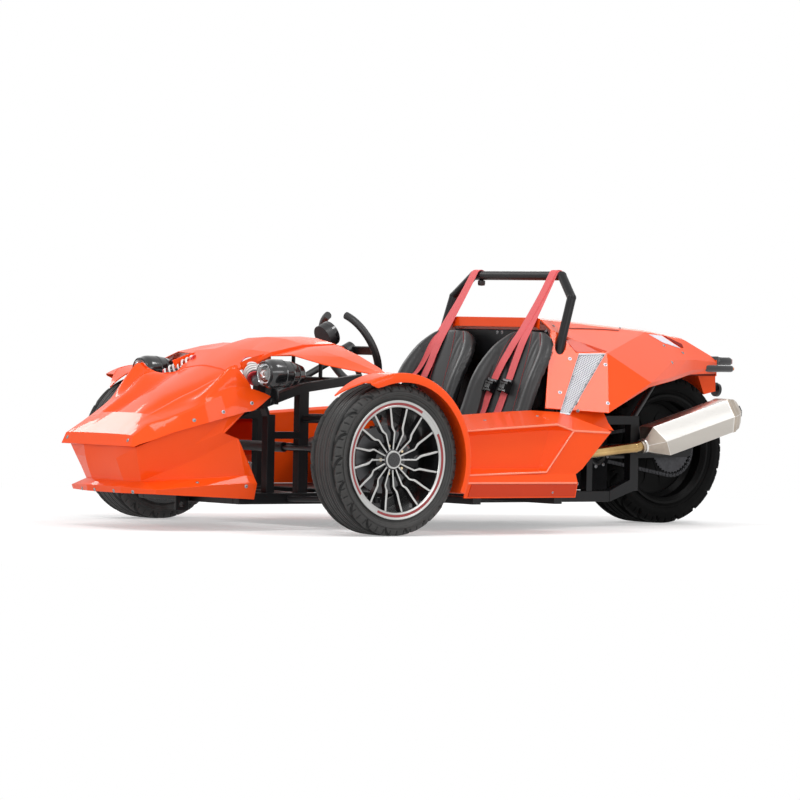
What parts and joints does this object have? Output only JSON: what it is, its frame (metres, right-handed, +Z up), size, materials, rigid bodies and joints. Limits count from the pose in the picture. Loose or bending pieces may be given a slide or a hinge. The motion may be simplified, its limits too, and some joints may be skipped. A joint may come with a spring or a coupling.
{
  "type": "three-wheeled roadster",
  "caption": "Open two-seat three-wheeled roadster with steered front wheels in cycle fenders, faceted orange panels on a tube frame, a roll hoop and a chain-driven rear wheel.",
  "frame": {"origin": "on the ground under the middle of the bounding box", "axes": "+X forward, +Y to the left side, +Z up"},
  "size_m": [3.255, 1.858, 1.0608],
  "materials": {
    "orange_paint": "satin",
    "black_frame": "satin",
    "black_engine": "matte",
    "tyre": "matte",
    "machined_rim": "machined",
    "bright_steel": "brushed",
    "pipe_steel": "heat tinted",
    "white_coil": "gloss",
    "seat_vinyl": "satin",
    "red_webbing": "woven",
    "black_plastic": "matte",
    "lamp_case": "gloss"
  },
  "bodies": {
    "chassis": {"frame_rails": "black_frame", "frame_crossmembers": "black_frame", "upper_crossmembers": "black_frame", "front_frame": "black_frame", "rear_frame": "black_frame", "roll_hoop": "black_frame", "floor_pan": "black_frame", "firewall": "black_frame", "nose_upper": "orange_paint", "nose_lower": "orange_paint", "hood": "orange_paint", "cowl_wings": "orange_paint", "front_fenders": "orange_paint", "side_pods": "orange_paint", "engine_cover": "orange_paint", "rear_panels": "orange_paint", "side_grilles": "machined_rim", "tail_bracket": "orange_paint", "tail_lamps": "black_plastic", "seat_left": "seat_vinyl", "seat_right": "seat_vinyl", "harness": "red_webbing", "instrument_pod": "black_plastic", "steering_column": "black_plastic", "headlamps": "lamp_case", "front_shocks": "bright_steel", "front_springs": "white_coil", "front_arms": "black_frame", "rack_housing": "machined_rim", "engine": "black_engine", "exhaust_pipe": "pipe_steel", "silencer": "bright_steel", "swingarm": "black_frame", "drive_chain": "bright_steel", "pedals": "machined_rim"},
    "knuckle_left": {"knuckle_left": "black_frame"},
    "knuckle_right": {"knuckle_right": "black_frame"},
    "wheel_front_left": {"tyre_front_left": "tyre", "rim_front_left": "machined_rim", "disc_front_left": "bright_steel"},
    "wheel_front_right": {"tyre_front_right": "tyre", "rim_front_right": "machined_rim", "disc_front_right": "bright_steel"},
    "wheel_rear": {"tyre_rear": "tyre", "rim_rear": "black_frame", "rear_hub": "bright_steel"},
    "steering_wheel": {"steering_wheel": "black_plastic"},
    "rack": {"rack_bar": "bright_steel"}
  },
  "joints": [
    {"name": "steer_left", "type": "hinge", "parent": "chassis", "child": "knuckle_left", "pos_m": [0.8125, 0.759, 0.298], "axis": [0, 0, 1], "range_deg": [-28, 28]},
    {"name": "steer_right", "type": "hinge", "parent": "chassis", "child": "knuckle_right", "pos_m": [0.8125, -0.759, 0.298], "axis": [0, 0, 1], "range_deg": [-28, 28]},
    {"name": "steering_wheel_turn", "type": "hinge", "parent": "chassis", "child": "steering_wheel", "pos_m": [0.2025, -0.26, 0.716], "axis": [-0.8987, 0, 0.4385], "range_deg": [-230, 230]},
    {"name": "rack_slide", "type": "slide", "parent": "chassis", "child": "rack", "axis": [0, 1, 0], "range_m": [-0.058, 0.058]},
    {"name": "spin_front_left", "type": "hinge", "parent": "knuckle_left", "child": "wheel_front_left", "pos_m": [0.8125, 0.809, 0.298], "axis": [0, 1, 0], "continuous": true},
    {"name": "spin_front_right", "type": "hinge", "parent": "knuckle_right", "child": "wheel_front_right", "pos_m": [0.8125, -0.809, 0.298], "axis": [0, 1, 0], "continuous": true},
    {"name": "spin_rear", "type": "hinge", "parent": "chassis", "child": "wheel_rear", "pos_m": [-1.2075, 0, 0.317], "axis": [0, 1, 0], "continuous": true}
  ],
  "couplings": [
    {"joint": "steer_right", "follows": "steer_left", "ratio": 1},
    {"joint": "steering_wheel_turn", "follows": "steer_left", "ratio": 8},
    {"joint": "rack_slide", "follows": "steer_left", "m_per_rad": 0.115}
  ]
}
